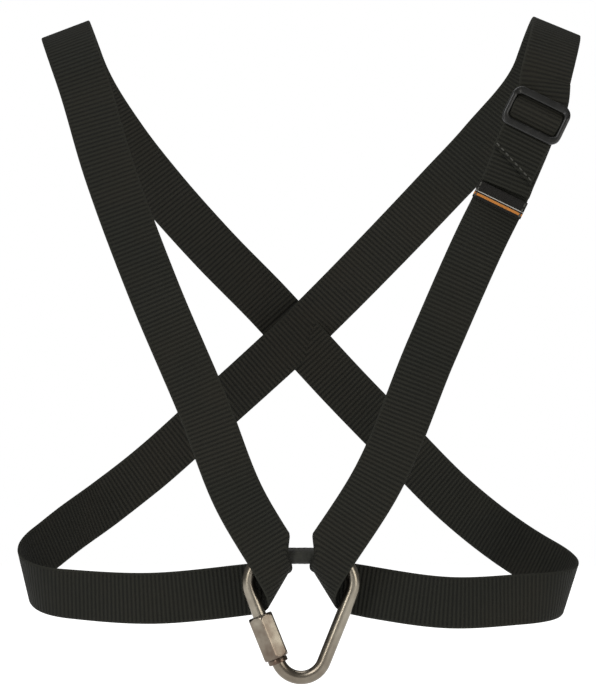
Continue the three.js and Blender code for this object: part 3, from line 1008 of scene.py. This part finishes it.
def tagFinish():
    finish = Finish("satinTag", Specular_IOR_Level=tag["shine"])
    x, y, _ = finish.parts(finish.weaveMap())
    weave = x.wave(tag["warpPitch"]) * 0.5 + y.wave(tag["weftPitch"]) * 0.5
    stripe = y.inside(*tag["stripeEdges"])
    thread = y.inside(*tag["threadEdges"])
    cloud = finish.noise(finish.objectPlace(), *tag["cloud"])
    faded = cloud * (1 - tag["stripeLeast"]) + tag["stripeLeast"]
    colour = finish.mix(stripe * faded, tag["cloth"], tag["stripe"])
    colour = finish.mix(thread * tag["threadShare"], colour, tag["thread"])
    least, added = tag["roughness"]
    return finish.shade(
        Base_Color=finish.mix(weave * tag["sheenShare"], colour, tag["sheen"]),
        Roughness=cloud * added + least,
        Normal=finish.bump(weave, tag["relief"]),
    )


# Stitches: short rounded threads that lie half sunk in the cloth.
stitch = {
    "length": 0.0025,
    "radius": 0.00052,
    "flatness": 0.8,
    "endPower": 0.6,
    "rings": 9,
    "sides": 10,
    "tailCount": 8,
    "pitch": 0.0036,
    "inset": 0.0014,
    "proud": 0.00005,
    "tagReach": 0.0142,
    "tagCount": 3,
    "tagPitch": 0.0033,
    "tagSink": 0.00002,
    "shade": (0.03, 0.03, 0.025),
    "colour": (0.05, 0.05, 0.042),
    "twistScale": 900.0,
    "roughness": 0.7,
    "relief": 0.00008,
    "shine": 0.4,
}


def stitchPoints(middle, along, out):
    across = along.cross(out).normalized()
    rings, sides = stitch["rings"], stitch["sides"]
    points = []
    for i in range(rings):
        share = math.pi * (i + 0.5) / rings
        radius = stitch["radius"] * math.sin(share) ** stitch["endPower"]
        step = -math.cos(share) * stitch["length"] / 2
        for j in range(sides):
            turn = 2 * math.pi * j / sides
            sideways = across * (radius * math.cos(turn))
            upwards = out * (radius * stitch["flatness"] * math.sin(turn))
            points.append(middle + along * step + sideways + upwards)
    return points, ringFaces(rings, sides)


def makeStitches(name, rows):
    points, faces = [], []
    for middle, along, out in rows:
        more, ring = stitchPoints(middle, along.normalized(), out.normalized())
        faces += [tuple(len(points) + v for v in face) for face in ring]
        points += more
    return meshFrom(name, points, faces)


def tailRow():
    end = stations[-1]
    before = next(s for s in reversed(stations) if end["run"] - s["run"] > stitch["inset"])
    across = before["normal"].cross(before["tangent"]) + end["tangent"] * strapEnds["tailSkew"]
    face = 1.0 if before["normal"].dot(outward) > 0 else -1.0
    out = before["normal"] * face
    rows = []
    for i in range(stitch["tailCount"]):
        a = stitch["pitch"] * (i - (stitch["tailCount"] - 1) / 2)
        spot = before["centre"] + across * a + out * (halfThick + stitch["proud"])
        rows.append((spot, across, out))
    return rows


def tagRows():
    out = tagOut + tag["thickness"] / 2 - stitch["tagSink"]
    rows = []
    for x in (-stitch["tagReach"], stitch["tagReach"]):
        for j in range(stitch["tagCount"]):
            up = tagUp + (j - (stitch["tagCount"] - 1) / 2) * stitch["tagPitch"]
            rows.append((onSlide(up, out, strapEnds["shift"] + x), upStrap, outward))
    return rows


def threadFinish():
    finish = Finish("sewingThread", Specular_IOR_Level=stitch["shine"])
    sockets = {"Vector": finish.objectPlace(), "Scale": stitch["twistScale"]}
    twist = finish.node("ShaderNodeTexWave", {"bands_direction": "DIAGONAL"}, sockets)
    return finish.shade(
        Base_Color=finish.mix(twist * 0.5, stitch["shade"], stitch["colour"]),
        Roughness=stitch["roughness"],
        Normal=finish.bump(twist, stitch["relief"]),
    )


def dress(piece, finish, body, slot, *nodes):
    piece.data.materials.append(finish)
    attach(piece, body)
    if nodes:
        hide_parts(*nodes)


print("weaving the strap")
dress(makeStrap(), webbingFinish(), "harness", "black_webbing", "webbing")
print("moulding the slide buckle")
dress(makeSlide(), plasticFinish(), "harness", "black_plastic", "buckle")
print("bending the link")
dress(makeLinkBody(), steelFinish("linkSteel", 0.25, 0.26), "harness", "brushed_steel", "link_body")
# The sleeve's full brown share is tarnish and a painted reflection.
dress(makeSleeve(), steelFinish("sleeveSteel", 1.0, 0.26), "sleeve", "brushed_steel", "link_sleeve")
dress(makeTube(), tubeFinish(), "harness", "black_rubber", "bar_tube")
print("sewing the tag and stitches")
dress(makeTag(), tagFinish(), "harness", "woven_label", "label")
thread = threadFinish()
dress(makeStitches("tailStitches", tailRow()), thread, "harness", "black_webbing")
dress(makeStitches("tagStitches", tagRows()), thread, "harness", "woven_label")

studio = {
    "floorHeight": -0.4,
    "floorRadius": 2.5,
    "floorSides": 64,
    "floorGrey": (0.6, 0.6, 0.6),
    "floorGlow": 0.92,
    "floorRoughness": 0.9,
    "cameraDistance": 9.0,
    "cameraReach": 200.0,
    "target": Vector((-0.0006, 0.0, -0.1871)),
    "viewHeight": 0.4081,
    "roomTint": (1.0, 1.0, 0.98),
    "roomLight": 0.2,
}

lamps = {
    "keySoftbox": {"at": (-1.3, -2.2, 1.6), "size": (1.2, 1.0), "power": 44.0, "tint": (1.0, 1.0, 1.0)},
    "fillSoftbox": {"at": (1.8, -1.8, 0.2), "size": (1.0, 1.4), "power": 22.0, "tint": (1.0, 0.96, 0.9)},
    "stripLamp": {"at": (-1.5, -2.3, 0.28), "size": (0.45, 1.0), "power": 15.0, "tint": (1.0, 0.97, 0.92)},
    "topSoftbox": {"at": (0.0, 0.3, 1.8), "size": (1.4, 1.0), "power": 22.0, "tint": (1.0, 1.0, 1.0)},
}


def makeFloor():
    mesh = bpy.data.meshes.new("floor")
    count = studio["floorSides"]
    radius, ring = studio["floorRadius"], []
    for i in range(count):
        turn = 2 * math.pi * i / count
        ring.append((radius * math.cos(turn), radius * math.sin(turn), studio["floorHeight"]))
    mesh.from_pydata(ring, [], [tuple(range(count))])
    floor = bpy.data.objects.new("floor", mesh)
    bpy.context.scene.collection.objects.link(floor)
    finish = Finish("paleFloor")
    floor.data.materials.append(finish.shade(
        Base_Color=studio["floorGrey"],
        Roughness=studio["floorRoughness"],
        Emission_Color=(1.0, 1.0, 1.0),
        Emission_Strength=studio["floorGlow"],
    ))


def stand(thing, at):
    thing.location = at
    thing.rotation_mode = "QUATERNION"
    thing.rotation_quaternion = (studio["target"] - Vector(at)).to_track_quat("-Z", "Y")
    bpy.context.scene.collection.objects.link(thing)


def addLamp(name, lamp):
    data = bpy.data.lights.new(name, "AREA")
    data.shape = "RECTANGLE"
    data.size, data.size_y = lamp["size"]
    data.energy = lamp["power"]
    data.color = lamp["tint"]
    stand(bpy.data.objects.new(name, data), lamp["at"])


# The room is white to the camera and dimmer as a light.
def makeStudio():
    makeFloor()
    world = bpy.data.worlds.new("paleRoom")
    bpy.context.scene.world = world
    world.use_nodes = True
    seen = world.node_tree.nodes["Background"]
    lighting = world.node_tree.nodes.new("ShaderNodeBackground")
    chooser = world.node_tree.nodes.new("ShaderNodeMixShader")
    rays = world.node_tree.nodes.new("ShaderNodeLightPath")
    seen.inputs[0].default_value = (1.0, 1.0, 1.0, 1.0)
    lighting.inputs[0].default_value = (*studio["roomTint"], 1.0)
    lighting.inputs[1].default_value = studio["roomLight"]
    links = world.node_tree.links
    links.new(rays.outputs["Is Camera Ray"], chooser.inputs[0])
    links.new(lighting.outputs[0], chooser.inputs[1])
    links.new(seen.outputs[0], chooser.inputs[2])
    links.new(chooser.outputs[0], world.node_tree.nodes["World Output"].inputs[0])
    for name, lamp in lamps.items():
        addLamp(name, lamp)
    camera = bpy.data.cameras.new("camera")
    camera.lens = camera.sensor_width * studio["cameraDistance"] / studio["viewHeight"]
    camera.clip_end = studio["cameraReach"]
    holder = bpy.data.objects.new("camera", camera)
    stand(holder, (0.0, -studio["cameraDistance"], 0.0))
    bpy.context.scene.camera = holder
    bpy.context.scene.view_settings.view_transform = "Standard"


print("setting up the studio")
makeStudio()
